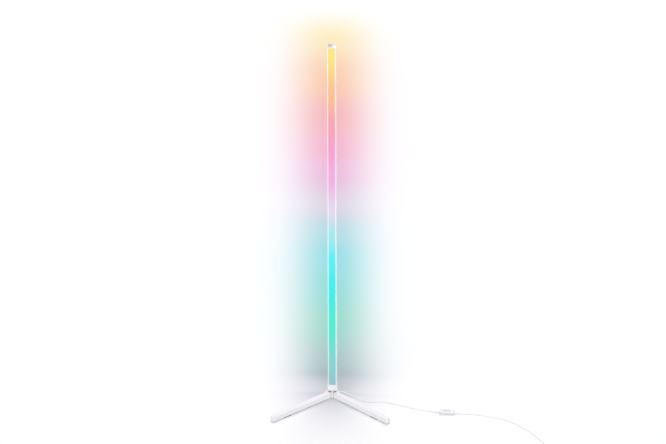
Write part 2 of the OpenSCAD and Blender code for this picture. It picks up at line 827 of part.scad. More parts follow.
module switch_upper_shell() {
    lip_l = switch_l - 2 * (switch_wall + fit);
    lip_w = switch_w - 2 * (switch_wall + fit);
    lip_r = switch_r - switch_wall - fit;
    color(WHITE) switch_place() difference() {
        union() {
            difference() {
                intersection() {
                    switch_form();
                    switch_layer(seam_z, switch_h);
                }
                switch_hollow();
            }
            for (p = switch_posts) translate([p.x, p.y, seam_z])
                cylinder(r = 2.6, h = switch_h - seam_z - switch_wall / 2);
            difference() {
                translate([0, 0, seam_z - lap]) linear_extrude(lap + 1) round_rect(lip_l, lip_w, lip_r);
                translate([0, 0, seam_z - lap - 1]) linear_extrude(lap + 3)
                    round_rect(lip_l - 2 * lap_t, lip_w - 2 * lap_t, lip_r - lap_t);
                for (p = switch_posts) translate([p.x, p.y]) cylinder(r = 2.6 + fit, h = seam_z);
                translate([-lip_l / 2, 0, relief_z]) rotate([0, 90, 0])
                    cylinder(r = relief_r + fit, h = lip_l);
            }
        }
        relief_hole();
        translate([0, 0, seam_z]) linear_extrude(switch_h)
            slot(button_l + 2 * button_gap, button_w + 2 * button_gap);
        for (p = switch_posts) translate([p.x, p.y, 0])
            cylinder(r = switch_screw_r + screw_fit, h = seam_z + 4.5);
    }
}

module switch_button() {
    color("lightgray") switch_place() {
        difference() {
            translate([0, 0, button_flange_z1]) linear_extrude(button_z1 - button_flange_z1)
                slot(button_l, button_w);
            translate([0, 0, button_z1 - button_dish + dish_r]) rotate([90, 0, 0])
                cylinder(r = dish_r, h = button_w - 3, center = true, $fn = 360);
        }
        translate([0, 0, button_flange_z1 - button_flange_h]) linear_extrude(button_flange_h)
            slot(button_l + 2 * button_flange, button_w + 2 * button_flange);
        translate([0, 0, stem_z0]) cylinder(r = stem_r, h = button_flange_z1 - stem_z0 - 0.5);
    }
}

module switch_board() {
    color(BOARD) switch_place()
        bar(-switch_l / 2 + 14, switch_l / 2 - 14, switch_w - 10, switch_board_z,
            switch_board_z + board_t);
}

module switch_parts() {
    color("dimgray") switch_place() difference() {
        union() {
            bar(-tact_w / 2, tact_w / 2, tact_w, switch_board_z + board_t, tact_z1);
            bar(7, 12, 6, switch_board_z + board_t, switch_board_z + board_t + 1.5);
            bar(-12, -8, 8, switch_board_z + board_t, switch_board_z + board_t + 1.2);
        }
        translate([0, 0, stem_z0 - button_travel - 0.1]) cylinder(r = stem_r + 0.1, h = big);
    }
}

module switch_screws() {
    color(STEEL) switch_place() for (p = switch_posts) translate([p.x, p.y])
        screw(0.2, switch_screw_r, switch_screw_l, 1.9, 1);
}

module switch_relief(side) {
    x0 = switch_l / 2 - switch_wall - 2;
    neck_x0 = switch_l / 2 - switch_wall - 0.1;
    neck_x1 = switch_l / 2 + 0.1;
    x1 = switch_l / 2 + relief_l;
    color(WHITE) switch_place() translate([0, 0, relief_z]) mirror([side < 0 ? 1 : 0, 0, 0])
        difference() {
            turned_x([
                [x0, relief_r], [neck_x0, relief_r], [neck_x0, relief_neck_r],
                [neck_x1, relief_neck_r], [neck_x1, relief_r], [x1, relief_tip_r]
            ]);
            for (i = [1:3]) translate([switch_l / 2 + i * relief_l / 4, 0, 0])
                turned_ring(cord_r + 0.3, 1);
        }
}

// ---- adapter ----

module adapter_place() translate([adapter_x, adapter_y]) children();
module adapter_section(inset) {
    translate([0, adapter_h / 2]) round_rect(adapter_w - 2 * inset, adapter_h - 2 * inset,
        adapter_r - inset);
}

module adapter_case() {
    l = adapter_l - face_t;
    color(WHITE) adapter_place() difference() {
        intersection() {
            rotate([90, 0, 0]) linear_extrude(l) adapter_section(0);
            translate([0, -l / 2 - adapter_edge_r]) linear_extrude(adapter_h)
                round_rect(adapter_w, l + 2 * adapter_edge_r, adapter_edge_r);
            translate([-big / 2, 0, 0]) mirror([0, 1, 0]) cube([big, big, big]);
        }
        translate([0, -adapter_wall, 0]) rotate([90, 0, 0]) linear_extrude(l)
            adapter_section(adapter_wall);
        translate([0, 1, entry_z]) rotate([90, 0, 0]) cylinder(r = entry_r - 1, h = 5);
    }
}

module adapter_face() {
    color(WHITE) adapter_place() difference() {
        union() {
            translate([0, -adapter_l + face_t, 0]) rotate([90, 0, 0]) linear_extrude(face_t)
                adapter_section(0);
            translate([0, -adapter_l + face_t + 3, 0]) rotate([90, 0, 0]) linear_extrude(3.5)
                difference() {
                    adapter_section(adapter_wall + fit);
                    adapter_section(adapter_wall + fit + 1.2);
                }
        }
        for (x = [-1, 1]) translate([x * pin_pitch / 2, 0, pin_z]) rotate([90, 0, 0])
            cylinder(r = pin_root_r + screw_fit, h = big);
    }
}

module adapter_pins() {
    r = pin_d / 2;
    color(STEEL) adapter_place() for (x = [-1, 1])
        translate([x * pin_pitch / 2, -adapter_l + pin_in, pin_z]) rotate([90, 0, 0]) {
            cylinder(r = pin_root_r, h = pin_in);
            cylinder(r = r, h = pin_in + pin_l - pin_tip);
            translate([0, 0, pin_in + pin_l - pin_tip])
                cylinder(r1 = r, r2 = r - 0.8, h = pin_tip);
        }
}

module adapter_board() {
    l = adapter_l - 24;
    color(BOARD) adapter_place() {
        translate([-adapter_w / 2 + 4, -8 - l, adapter_board_z])
            cube([adapter_w - 8, l, board_t]);
        for (x = [-1, 1], y = [-12, -4 - l]) translate([x * (adapter_w / 2 - 8), y, adapter_wall])
            cylinder(r = 1.6, h = adapter_board_z - adapter_wall);
    }
}

module adapter_parts() {
    z = adapter_board_z + board_t;
    color("dimgray") adapter_place() {
        translate([-8, -34, z]) cube([16, 15, 13]);
        translate([11, -24, z]) cylinder(r = 4, h = 14);
        translate([-12, -42, z]) cylinder(r = 3, h = 10);
    }
}

module adapter_relief() {
    color(WHITE) adapter_place() translate([0, 0, entry_z]) rotate([0, 0, 90]) difference() {
        turned_x([
            [-adapter_wall - 2, entry_r], [-adapter_wall - 0.1, entry_r],
            [-adapter_wall - 0.1, entry_r - 1 - screw_fit], [0, entry_r - 1 - screw_fit],
            [adapter_relief_l, relief_tip_r]
        ]);
        for (i = [1:4]) translate([i * adapter_relief_l / 5, 0, 0]) turned_ring(cord_r + 0.3, 1);
    }
}

pole_profile();
diffuser();
led_board();
led_chips();
top_cap();
controller_board();
controller_parts();
led_wires();
inner_lead();
cord_clamp();
hub_casting();
hub_base_plate();
base_plate_screws();
pole_screws();
hub_foot();
leg(LEFT);  // left_leg
leg_weight(LEFT);  // left_leg_weight
leg_cover(LEFT);  // left_leg_cover
leg_foot(LEFT);  // left_leg_foot
leg_screws(LEFT);  // left_leg_screws
cover_screws(LEFT);  // left_cover_screws
leg(RIGHT);  // right_leg
leg_weight(RIGHT);  // right_leg_weight
leg_cover(RIGHT);  // right_leg_cover
leg_foot(RIGHT);  // right_leg_foot
leg_screws(RIGHT);  // right_leg_screws
cover_screws(RIGHT);  // right_cover_screws
cord_gland();
cord_lead();
cord_run();
cord_coil();
cord_tail();
switch_lower_shell();
switch_upper_shell();
switch_button();
switch_board();
switch_parts();
switch_screws();
switch_relief(LEFT);  // switch_relief_in
switch_relief(RIGHT);  // switch_relief_out
adapter_relief();
adapter_case();
adapter_face();
adapter_pins();
adapter_board();
adapter_parts();
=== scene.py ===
"""Dresses the corner floor lamp: finishes, the lit diffuser, the free cord and a studio.

The numbers of the cord and its tie are in millimetres, as in the part's source. Elsewhere
a length in millimetres is written times MM, and any other length is in metres.
"""

import json
import math

import bmesh
import bpy
from mathutils import Matrix, Vector


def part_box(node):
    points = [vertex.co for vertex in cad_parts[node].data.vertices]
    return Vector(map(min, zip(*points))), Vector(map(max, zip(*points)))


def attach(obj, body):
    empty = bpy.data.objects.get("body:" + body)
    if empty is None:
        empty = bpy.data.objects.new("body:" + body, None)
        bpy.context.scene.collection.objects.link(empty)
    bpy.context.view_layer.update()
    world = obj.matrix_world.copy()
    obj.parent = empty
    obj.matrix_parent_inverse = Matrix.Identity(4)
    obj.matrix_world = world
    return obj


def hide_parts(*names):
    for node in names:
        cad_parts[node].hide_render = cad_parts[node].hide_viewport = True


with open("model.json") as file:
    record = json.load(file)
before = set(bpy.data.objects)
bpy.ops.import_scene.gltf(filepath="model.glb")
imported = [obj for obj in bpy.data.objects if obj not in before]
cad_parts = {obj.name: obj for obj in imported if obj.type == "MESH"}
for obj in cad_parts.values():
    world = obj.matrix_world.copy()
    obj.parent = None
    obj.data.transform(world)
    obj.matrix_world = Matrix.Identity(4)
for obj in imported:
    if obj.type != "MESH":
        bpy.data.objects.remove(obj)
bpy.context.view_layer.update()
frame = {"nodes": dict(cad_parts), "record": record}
nodes = frame["nodes"]

MM = 0.001


# ---- camera ----

AIM = Vector((3.5, 0, 748.6)) * MM  # the middle of the picture
AZIMUTH = math.radians(2.4)  # to the right of the lamp's front
ELEVATION = math.radians(26.3)
LEAN = math.radians(0.16)  # the picture's small tilt
DISTANCE = 35.72
LENS, SENSOR = 500, 36  # in millimetres
NEAREST, FURTHEST = 1, 200  # what the camera draws


def make_camera():
    """A long lens far away, looking down on the lamp from just right of its front."""
    back = Vector(
        (
            math.sin(AZIMUTH) * math.cos(ELEVATION),
            -math.cos(AZIMUTH) * math.cos(ELEVATION),
            math.sin(ELEVATION),
        )
    )
    data = bpy.data.cameras.new("camera")
    data.lens, data.sensor_width = LENS, SENSOR
    data.clip_start, data.clip_end = NEAREST, FURTHEST
    camera = bpy.data.objects.new("camera", data)
    bpy.context.scene.collection.objects.link(camera)
    facing = (-back).to_track_quat("-Z", "Y").to_matrix().to_4x4()
    tilt = Matrix.Rotation(-LEAN, 4, "Z")
    camera.matrix_world = Matrix.Translation(AIM + back * DISTANCE) @ facing @ tilt
    bpy.context.scene.camera = camera


make_camera()


# ---- cord ----

CORD_D = 4
CORD_R = CORD_D / 2
SWITCH_AT = Vector((450, -148.6, 5))
SWITCH_WAY = Matrix.Rotation(math.radians(-6), 3, "Z") @ Vector((1, 0, 0))
SWITCH_REACH = 58 / 2 + 15  # half the switch and one strain relief
LEAD_ROUTE = [
    (36, 4.4, 10.4), (43, 3.5, 9.2), (50, 0.2, 7), (57, -4.4, 4.8), (65, -9.5, 3),
    (75, -14.8, 2.1), (86, -22, 2), (95, -31, 2), (103.5, -41, 2), (113, -51.5, 2),
    (124, -60, 2), (138, -64, 2), (160, -64.5, 2), (199, -64, 2), (232, -76, 2),
    (265, -90, 2), (299, -106, 2), (333, -120, 2), (360, -128.5, 2), (376, -132.5, 2.4),
    (391, -139, 3.6), SWITCH_AT - SWITCH_REACH * SWITCH_WAY,
]  # fmt: skip
RUN_ROUTE = [
    SWITCH_AT + SWITCH_REACH * SWITCH_WAY, (507, -154, 4), (523, -154, 2.6),
    (545, -155, 2), (578, -160, 2), (612, -171, 2), (649, -184, 2), (684, -203, 2),
    (720, -231, 2), (745, -258, 2), (772, -292, 2), (794, -322, 2), (815, -358, 2),
    (832, -391, 2), (846, -416, 2),
]  # fmt: skip
TAIL_ROUTE = [(870, -463, 6.2), (874.5, -477, 6.6), (876, -492, 8)]
LINE_STEPS = 8  # from one point of a route to the next

COIL_MID = Vector((834, -458, 0))
COIL_IN = math.radians(25)  # where the cord comes into the coil and leaves it
COIL_LOOPS = 6
COIL_R_IN = 4.2 * CORD_D
COIL_PITCH = CORD_D + 0.6  # from one turn to the next, sideways and upwards
COIL_CLIMB = 0.5  # loops that the step up to the second layer takes
COIL_LEAD = 5  # straight stretch at each end of the coil
COIL_POINTS = 16  # in a loop
COIL_NUDGE = 0.01  # loops, to find the coil's direction at its ends

TIE_AT = COIL_IN - math.pi  # here the turns lie in two rows of three
TIE_T = 0.6
TIE_W = 7
TIE_LIFT = 0.75  # how far the turns rise where the tie runs under them
TIE_LIFT_FADE = 6  # a higher number ends that rise closer to the tie
TIE_ROOM_IN, TIE_ROOM_OUT, TIE_ROOM_UP = 0.6, 0.2, 0.1  # between the tie and the cord
TIE_OVERLAP = 7  # of its end over its start
TIE_BEND_R = 1.5
TIE_BEND_STEPS = 5


def coil_at(t):
    """The coil's middle line after t loops: in along the floor, then out on top."""
    half = COIL_LOOPS / 2
    r = COIL_R_IN + COIL_PITCH * abs(t - half)
    a = COIL_IN - math.tau * t
    climb = max(0.0, min(1.0, (t - half) / COIL_CLIMB + 0.5))
    eased = climb * climb * (3 - 2 * climb)
    at_tie = max(0.0, math.cos(a - TIE_AT)) ** TIE_LIFT_FADE
    z = CORD_R + COIL_PITCH * eased + TIE_LIFT * at_tie
    return COIL_MID + Vector((r * math.cos(a), r * math.sin(a), z))


def coil_route():
    """The coil's turns with a short straight stretch at each end."""
    start, end = coil_at(0), coil_at(COIL_LOOPS)
    way_in = (coil_at(COIL_NUDGE) - start).normalized()
    way_out = (end - coil_at(COIL_LOOPS - COIL_NUDGE)).normalized()
    turns = [coil_at(i / COIL_POINTS) for i in range(COIL_LOOPS * COIL_POINTS + 1)]
    return [start - COIL_LEAD * way_in, *turns, end + COIL_LEAD * way_out]


def smooth_line(route):
    """Points along a smooth line through the route's points, never under the floor."""
    p = [Vector(q) for q in route]
    p = [2 * p[0] - p[1], *p, 2 * p[-1] - p[-2]]
    line = []
    for a, b, c, d in zip(p, p[1:], p[2:], p[3:]):
        for k in range(LINE_STEPS):
            u = k / LINE_STEPS
            # From b to c, its slope at each end set by the points around it
            q = 0.5 * (
                2 * b
                + (c - a) * u
                + (2 * a - 5 * b + 4 * c - d) * u**2
                + (3 * b - a - 3 * c + d) * u**3
            )
            line.append(q)
    line.append(p[-2])
    return [Vector((q.x, q.y, max(q.z, CORD_R))) * MM for q in line]


def make_cord(name, route):
    """A cord of the real thickness along a route, its length, and where it starts."""
    line = smooth_line(route)
    curve = bpy.data.curves.new(name, "CURVE")
    curve.dimensions = "3D"
    curve.bevel_depth = 1  # times each point's radius
    curve.bevel_resolution = 4
    curve.use_fill_caps = True
    spline = curve.splines.new("POLY")
    spline.points.add(len(line) - 1)
    for point, place in zip(spline.points, line):
        point.co = (*place, 1)
        point.radius = CORD_R * MM
    spline.use_smooth = True
    cord = bpy.data.objects.new(name, curve)
    bpy.context.scene.collection.objects.link(cord)
    length = sum((b - a).length for a, b in zip(line, line[1:]))
    return cord, length, line[0]


def make_tie():
    """A soft strap once round the coil's turns, its end laid over its start."""
    inner_turn = COIL_R_IN + 0.5 * COIL_PITCH
    outer_turn = COIL_R_IN + (COIL_LOOPS / 2 - 0.5) * COIL_PITCH
    inner = inner_turn - CORD_R - TIE_ROOM_IN - TIE_T / 2
    outer = outer_turn + CORD_R + TIE_ROOM_OUT + TIE_T / 2
    low = TIE_T / 2
    top = TIE_LIFT + COIL_PITCH + CORD_D + TIE_ROOM_UP + TIE_T / 2
    over = top + TIE_T + TIE_ROOM_UP
    middle = (inner + outer) / 2
    path = [
        (middle - TIE_OVERLAP / 2, top), (outer, top), (outer, low), (inner, low),
        (inner, over), (middle + TIE_OVERLAP / 2, over),
    ]  # fmt: skip
    mesh = bmesh.new()
    line = [mesh.verts.new((x, -TIE_W / 2, z)) for x, z in path]
    for a, b in zip(line, line[1:]):
        mesh.edges.new((a, b))
    bmesh.ops.bevel(
        mesh, geom=line[1:-1], offset=TIE_BEND_R, offset_type="OFFSET",
        segments=TIE_BEND_STEPS, profile=0.5, affect="VERTICES", material=-1,
    )  # fmt: skip
    side = bmesh.ops.extrude_edge_only(mesh, edges=mesh.edges[:])["geom"]
    side = [v for v in side if isinstance(v, bmesh.types.BMVert)]
    bmesh.ops.translate(mesh, verts=side, vec=(0, TIE_W, 0))
    bmesh.ops.recalc_face_normals(mesh, faces=mesh.faces[:])
    turn = Matrix.Rotation(TIE_AT, 4, "Z")
    place = Matrix.Scale(MM, 4) @ Matrix.Translation(COIL_MID) @ turn
    bmesh.ops.transform(mesh, matrix=place, verts=mesh.verts[:])
    data = bpy.data.meshes.new("cord_tie")
    mesh.to_mesh(data)
    mesh.free()
    tie = bpy.data.objects.new("cord_tie", data)
    bpy.context.scene.collection.objects.link(tie)
    wall = tie.modifiers.new("wall", "SOLIDIFY")
    wall.thickness, wall.offset = TIE_T * MM, 0
    return tie


cord_to_switch, to_switch_length, to_switch_start = make_cord("cord_to_switch", LEAD_ROUTE)
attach(cord_to_switch, "lamp")
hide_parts("cord_lead")

cord_tie = make_tie()
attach(cord_tie, "lamp")

cord_to_adapter, to_adapter_length, to_adapter_start = make_cord(
    "cord_to_adapter", [*RUN_ROUTE, *coil_route(), *TAIL_ROUTE]
)
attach(cord_to_adapter, "lamp")
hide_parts("cord_run", "cord_coil", "cord_tail")


# ---- materials ----


def colour(text):
    """An sRGB hex colour as linear red, green, blue and alpha."""
    parts = [int(text[i : i + 2], 16) / 255 for i in (0, 2, 4)]
    linear = [c / 12.92 if c <= 0.04045 else ((c + 0.055) / 1.055) ** 2.4 for c in parts]
    return (*linear, 1.0)


def new_material(name):
    material = bpy.data.materials.new(name)
    material.use_nodes = True
    material.node_tree.nodes.clear()
    return material


def add(owner, kind, inputs=None, **settings):
    """Adds a node with its settings and links to a material or the world.

    An input is a value, an output that feeds it, or a node, whose first output does.
    """
    node = owner.node_tree.nodes.new(kind)
    for name, value in settings.items():
        setattr(node, name, value)
    for name, value in (inputs or {}).items():
        if isinstance(value, bpy.types.Node):
            value = next(output for output in value.outputs if output.enabled)
        if isinstance(value, bpy.types.NodeSocket):
            owner.node_tree.links.new(value, node.inputs[name])
        else:
            node.inputs[name].default_value = value
    return node


BROAD = 40  # times the grain, for the slow change between a surface's two tones
ROUGH_SPREAD, RELIEF = 0.06, 0.6
METAL_SPREAD, METAL_RELIEF, METAL_DEPTH = 0.08, 0.4, 0.01 * MM


def moulded(name, base, shade, rough, grain_mm, depth_mm, gloss=0.5, over=None):
    """A painted, moulded or rubber surface: two close tones and a fine grain.

    A lump of the grain is grain_mm across and depth_mm high. A function given as over
    takes the tone and returns the shader's inputs where the piece has more to show.
    """
    material = new_material(name)
    place = add(material, "ShaderNodeTexCoord").outputs["Object"]
    fine, broad = (
        add(material, "ShaderNodeTexNoise", {"Vector": place, "Scale": 1 / (size * MM)})
        for size in (grain_mm, BROAD * grain_mm)
    )
    tone = add(
        material,
        "ShaderNodeMix",
        {"Factor": broad, "A": colour(base), "B": colour(shade)},
        data_type="RGBA",
    )
    dull = add(
        material,
        "ShaderNodeMapRange",
        {"Value": fine, "To Min": rough - ROUGH_SPREAD, "To Max": rough + ROUGH_SPREAD},
    )
    relief = add(
        material,
        "ShaderNodeBump",
        {"Height": fine, "Distance": depth_mm * MM, "Strength": RELIEF},
    )
    inputs = {
        "Base Color": tone,
        "Roughness": dull,
        "Specular IOR Level": gloss,
        "Normal": relief,
    }
    if over:
        inputs.update(over(material, tone))
    shader = add(material, "ShaderNodeBsdfPrincipled", inputs)
    add(material, "ShaderNodeOutputMaterial", {"Surface": shader})
    return material


def metal(name, base, rough, grain_mm):
    """Bare or plated metal: bright, with the fine grain that its making left."""
    material = new_material(name)
    place = add(material, "ShaderNodeTexCoord").outputs["Object"]
    fine = add(
        material, "ShaderNodeTexNoise", {"Vector": place, "Scale": 1 / (grain_mm * MM)}
    )
    dull = add(
        material,
        "ShaderNodeMapRange",
        {"Value": fine, "To Min": rough - METAL_SPREAD, "To Max": rough + METAL_SPREAD},
    )
    relief = add(
        material,
        "ShaderNodeBump",
        {"Height": fine, "Distance": METAL_DEPTH, "Strength": METAL_RELIEF},
    )
    shader = add(
        material,
        "ShaderNodeBsdfPrincipled",
        {"Base Color": colour(base), "Metallic": 1.0, "Roughness": dull, "Normal": relief},
    )
    add(material, "ShaderNodeOutputMaterial", {"Surface": shader})
    return material


LAMP_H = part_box("top_cap")[1].z
POLE_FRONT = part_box("pole_profile")[0].y
LEG_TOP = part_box("left_leg")[1].z

# The light's colours from the top of the diffuser to its foot, by height in millimetres
LIGHT = [
    (1480, "FBE684"),  # yellow
    (1290, "FBBE96"),  # peach
    (1170, "F9A2B3"),  # pink
    (1060, "F8A1CE"),  # orchid
    (950, "F2B0E2"),  # lilac
    (805, "E3D8EE"),  # pale lilac
    (695, "A3E8F1"),  # pale blue
    (590, "57EDF5"),  # sky blue
    (465, "3CEDE9"),  # aqua
    (300, "52EACF"),  # mint
    (130, "88D2CF"),  # grey green
    (60, "96C4CF"),  # grey blue
]


def colour_at(material, height, colours):
    """The colour at a height, from a list of heights and colours, the top one first."""
    share = add(material, "ShaderNodeMapRange", {"Value": height, "From Max": LAMP_H})
    ramp = add(material, "ShaderNodeValToRGB", {"Fac": share})
    ramp.color_ramp.interpolation = "EASE"
    stops = ramp.color_ramp.elements  # two at first
    for i, (z, text) in enumerate(reversed(colours)):
        stop = stops[i] if i < 2 else stops.new(z * MM / LAMP_H)
        stop.position = z * MM / LAMP_H
        stop.color = colour(text)
    return ramp


LIT_STRENGTH = 0.88
LIT_DARKENED = 0.92  # how far the lit face's own tone goes to black, under its light
HAZE_MM = 2.5  # the real size of the haze in drawn acrylic
SATIN = (0.36, 0.46)  # its roughness, from clear to hazy
ACRYLIC_IOR, ACRYLIC_GLOSS = 1.49, 0.3


def lit_opal():
    """Opal acrylic lit from behind: even colour with no chip showing, and a satin face."""
    material = new_material("lit_opal_acrylic")
    place = add(material, "ShaderNodeTexCoord").outputs["Object"]
    at = add(material, "ShaderNodeSeparateXYZ", {"Vector": place})
    light = colour_at(material, at.outputs["Z"], LIGHT)
    haze = add(
        material, "ShaderNodeTexNoise", {"Vector": place, "Scale": 1 / (HAZE_MM * MM)}
    )
    satin = add(
        material,
        "ShaderNodeMapRange",
        {"Value": haze, "To Min": SATIN[0], "To Max": SATIN[1]},
    )
    paint = add(
        material,
        "ShaderNodeMix",
        {"Factor": LIT_DARKENED, "A": light, "B": colour("000000")},
        data_type="RGBA",
    )
    shader = add(
        material,
        "ShaderNodeBsdfPrincipled",
        {
            "Base Color": paint,
            "Roughness": satin,
            "IOR": ACRYLIC_IOR,
            "Specular IOR Level": ACRYLIC_GLOSS,
            "Emission Color": light,
            "Emission Strength": LIT_STRENGTH,
        },
    )
    add(material, "ShaderNodeOutputMaterial", {"Surface": shader})
    return material


# Painted light on the pole's lips: the strip's colours in their tone and a faint painted
# glow, fading back from the lips' front
LIP_FROM, LIP_TO = POLE_FRONT + 0.2 * MM, POLE_FRONT + 2.5 * MM  # most tint to none
LIP_PAINTED_TINT, LIP_PAINTED_GLOW = 0.45, 0.12


def lips_painted_strip_light(material, paint):
    """Painted light on the pole's lips beside the diffuser: a little of its colours in
    their tone, and a faint painted glow.
    """
    place = add(material, "ShaderNodeTexCoord").outputs["Object"]
    at = add(material, "ShaderNodeSeparateXYZ", {"Vector": place})
    light = colour_at(material, at.outputs["Z"], LIGHT)
    tint, glow = (
        add(
            material,
            "ShaderNodeMapRange",
            {
                "Value": at.outputs["Y"],
                "From Min": LIP_FROM,
                "From Max": LIP_TO,
                "To Min": most,
                "To Max": 0.0,
            },
        )
        for most in (LIP_PAINTED_TINT, LIP_PAINTED_GLOW)
    )
    tone = add(
        material,
        "ShaderNodeMix",
        {"Factor": tint, "A": paint, "B": light},
        data_type="RGBA",
    )
    return {"Base Color": tone, "Emission Color": light, "Emission Strength": glow}


SHADE_EDGE = 0.3 * MM  # how wide a painted shade's soft edge is
# Painted shade in the cap's sunken top: a warm grey, darker towards the rear and fading out
# to the right
DISH_EDGE = 15.9 * MM  # from the middle to the dish's wall
DISH_TOP, DISH_FULL = LAMP_H - 0.5 * MM, LAMP_H - 0.9 * MM  # the shade starts, and is full
DISH_RIGHT = (-5 * MM, 12 * MM)  # where the shade fades, from full to none
DISH_REAR = (-6 * MM, 12 * MM)  # where it turns from its front tone to its rear one
DISH_FRONT_SHADE, DISH_REAR_SHADE = "D2C8CA", "B5A698"


def dish_painted_shade(material, paint):
    """The cap's sunken top gets a painted shade of warm grey, darker towards the rear,
    which fades to the right.
    """
    place = add(material, "ShaderNodeTexCoord").outputs["Object"]
    at = add(material, "ShaderNodeSeparateXYZ", {"Vector": place})
    across, along = (
        add(material, "ShaderNodeMath", {0: at.outputs[axis]}, operation="ABSOLUTE")
        for axis in "XY"
    )
    out = add(material, "ShaderNodeMath", {0: across, 1: along}, operation="MAXIMUM")
    share = 1.0
    # Each step lets what the one before left fade from full to nothing
    for value, full, none, way in (
        (at.outputs["Z"], DISH_FULL, DISH_TOP, "LINEAR"),
        (out, DISH_EDGE - SHADE_EDGE, DISH_EDGE, "LINEAR"),
        (at.outputs["X"], *DISH_RIGHT, "SMOOTHSTEP"),
    ):
        share = add(
            material,
            "ShaderNodeMapRange",
            {
                "Value": value,
                "From Min": full,
                "From Max": none,
                "To Min": share,
                "To Max": 0.0,
            },
            interpolation_type=way,
        )
    rear = add(
        material,
        "ShaderNodeMapRange",
        {"Value": at.outputs["Y"], "From Min": DISH_REAR[0], "From Max": DISH_REAR[1]},
    )
    shade = add(
        material,
        "ShaderNodeMix",
        {"Factor": rear, "A": colour(DISH_FRONT_SHADE), "B": colour(DISH_REAR_SHADE)},
        data_type="RGBA",
    )
    tone = add(
        material,
        "ShaderNodeMix",
        {"Factor": share, "A": paint, "B": shade},
        data_type="RGBA",
    )
    return {"Base Color": tone}


# Painted shade down the switch shell's low side: grey below, white above
GREY_BELOW, WHITE_ABOVE = 9.5 * MM, 12 * MM
SIDE_SHADE_TONE = "E0DFE5"


def shell_side_painted_shade(material, paint):
    """Painted shade on the shell's low side: it turns grey towards its lower edge."""
    place = add(material, "ShaderNodeTexCoord").outputs["Object"]
    at = add(material, "ShaderNodeSeparateXYZ", {"Vector": place})
    white = add(
        material,
        "ShaderNodeMapRange",
        {"Value": at.outputs["Z"], "From Min": GREY_BELOW, "From Max": WHITE_ABOVE},
    )
    tone = add(
        material,
        "ShaderNodeMix",
        {"Factor": white, "A": colour(SIDE_SHADE_TONE), "B": paint},
        data_type="RGBA",
    )
    return {"Base Color": tone}


# The legs' inner ends, as the part's source has them
POCKET_X = 16 * MM  # the pockets end at this distance from the middle
POCKET_Y = 22.75 * MM  # how far their middle lies in front of the pole's axis
POCKET_D = 9.4 * MM
ROOT_X = 6 * MM  # the legs' inner ends lie within this distance of the middle
# Painted shade on the legs: how dark it is in the pockets and on the roots facing the web,
# and its tone
POCKET_SHADE, ROOT_SHADE = 0.68, 0.5
SHADE_TOP = LEG_TOP - 0.6 * MM  # the legs' top faces stay clear of it
PAINTED_SHADE_TONE = "3A3A3C"


def roots_painted_shade(material, paint):
    """Painted shade on the legs: dark in the pocket under the collar, and where they face
    the web.
    """
    place = add(material, "ShaderNodeTexCoord").outputs["Object"]
    at = add(material, "ShaderNodeSeparateXYZ", {"Vector": place})
    across = add(material, "ShaderNodeMath", {0: at.outputs["X"]}, operation="ABSOLUTE")
    ahead = add(
        material, "ShaderNodeMath", {0: at.outputs["Y"], 1: POCKET_Y}, operation="ADD"
    )
    along = add(material, "ShaderNodeMath", {0: ahead}, operation="ABSOLUTE")
    root = add(
        material,
        "ShaderNodeMapRange",
        {
            "Value": across,
            "From Min": ROOT_X - SHADE_EDGE,
            "From Max": ROOT_X,
            "To Min": ROOT_SHADE,
            "To Max": 0.0,
        },
    )
    pocket = POCKET_SHADE
    for value, limit in ((across, POCKET_X), (along, POCKET_D / 2)):
        pocket = add(
            material,
            "ShaderNodeMapRange",
            {
                "Value": value,
                "From Min": limit - SHADE_EDGE,
                "From Max": limit,
                "To Min": pocket,
                "To Max": 0.0,
            },
        )
    dark = add(material, "ShaderNodeMath", {0: pocket, 1: root}, operation="MAXIMUM")
    low = add(
        material,
        "ShaderNodeMapRange",
        {
            "Value": at.outputs["Z"],
            "From Min": SHADE_TOP - SHADE_EDGE,
            "From Max": SHADE_TOP,
            "To Min": dark,
            "To Max": 0.0,
        },
    )
    tone = add(
        material,
        "ShaderNodeMix",
        {"Factor": low, "A": paint, "B": colour(PAINTED_SHADE_TONE)},
        data_type="RGBA",
    )
    return {"Base Color": tone}


